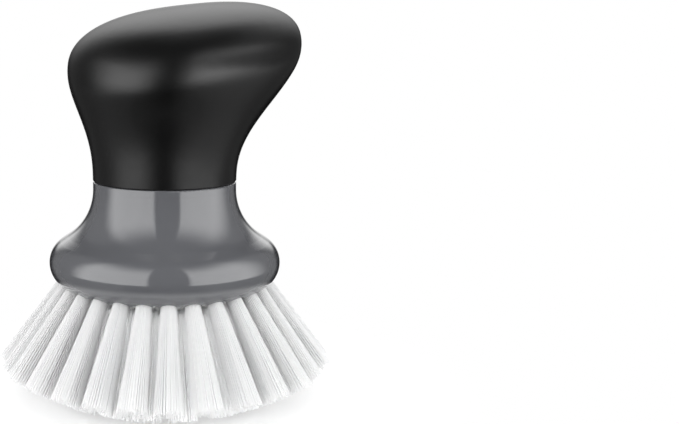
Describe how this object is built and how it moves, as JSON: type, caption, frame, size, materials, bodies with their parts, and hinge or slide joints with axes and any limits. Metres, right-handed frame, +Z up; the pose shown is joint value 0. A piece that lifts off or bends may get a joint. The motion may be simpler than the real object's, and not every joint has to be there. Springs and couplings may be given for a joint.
{
  "type": "palm brush",
  "caption": "Short cleaning brush held in the palm: a soft black knob with a beak on a flared grey head, with rings of white nylon tufts fanning out under it.",
  "frame": {"origin": "on the floor, on the head's axis, under the middle of the tufts", "axes": "+Z up along the head's axis, +X towards the beak of the knob, front of the brush faces -Y"},
  "size_m": [0.0826, 0.0826, 0.0955],
  "materials": {
    "soft_black": "satin soft-touch",
    "core_plastic": "as moulded",
    "grey_plastic": "glossy",
    "white_bristle": "semi-gloss nylon filament",
    "anchor_metal": "bright strip"
  },
  "bodies": {
    "root": {"palm_grip": "soft_black", "grip_core_front": "core_plastic", "grip_core_back": "core_plastic", "brush_head": "grey_plastic", "tuft_anchors": "anchor_metal", "outer_tuft_01": "white_bristle", "outer_tuft_02": "white_bristle", "outer_tuft_03": "white_bristle", "outer_tuft_04": "white_bristle", "outer_tuft_05": "white_bristle", "outer_tuft_06": "white_bristle", "outer_tuft_07": "white_bristle", "outer_tuft_08": "white_bristle", "outer_tuft_09": "white_bristle", "outer_tuft_10": "white_bristle", "outer_tuft_11": "white_bristle", "outer_tuft_12": "white_bristle", "outer_tuft_13": "white_bristle", "outer_tuft_14": "white_bristle", "outer_tuft_15": "white_bristle", "outer_tuft_16": "white_bristle", "outer_tuft_17": "white_bristle", "outer_tuft_18": "white_bristle", "outer_tuft_19": "white_bristle", "outer_tuft_20": "white_bristle", "outer_tuft_21": "white_bristle", "outer_tuft_22": "white_bristle", "outer_tuft_23": "white_bristle", "outer_tuft_24": "white_bristle", "outer_tuft_25": "white_bristle", "outer_tuft_26": "white_bristle", "outer_tuft_27": "white_bristle", "outer_tuft_28": "white_bristle", "second_tuft_01": "white_bristle", "second_tuft_02": "white_bristle", "second_tuft_03": "white_bristle", "second_tuft_04": "white_bristle", "second_tuft_05": "white_bristle", "second_tuft_06": "white_bristle", "second_tuft_07": "white_bristle", "second_tuft_08": "white_bristle", "second_tuft_09": "white_bristle", "second_tuft_10": "white_bristle", "second_tuft_11": "white_bristle", "second_tuft_12": "white_bristle", "second_tuft_13": "white_bristle", "second_tuft_14": "white_bristle", "second_tuft_15": "white_bristle", "second_tuft_16": "white_bristle", "second_tuft_17": "white_bristle", "second_tuft_18": "white_bristle", "second_tuft_19": "white_bristle", "second_tuft_20": "white_bristle", "second_tuft_21": "white_bristle", "second_tuft_22": "white_bristle", "third_row_tufts": "white_bristle", "fourth_row_tufts": "white_bristle", "fifth_row_tufts": "white_bristle"}
  },
  "joints": []
}
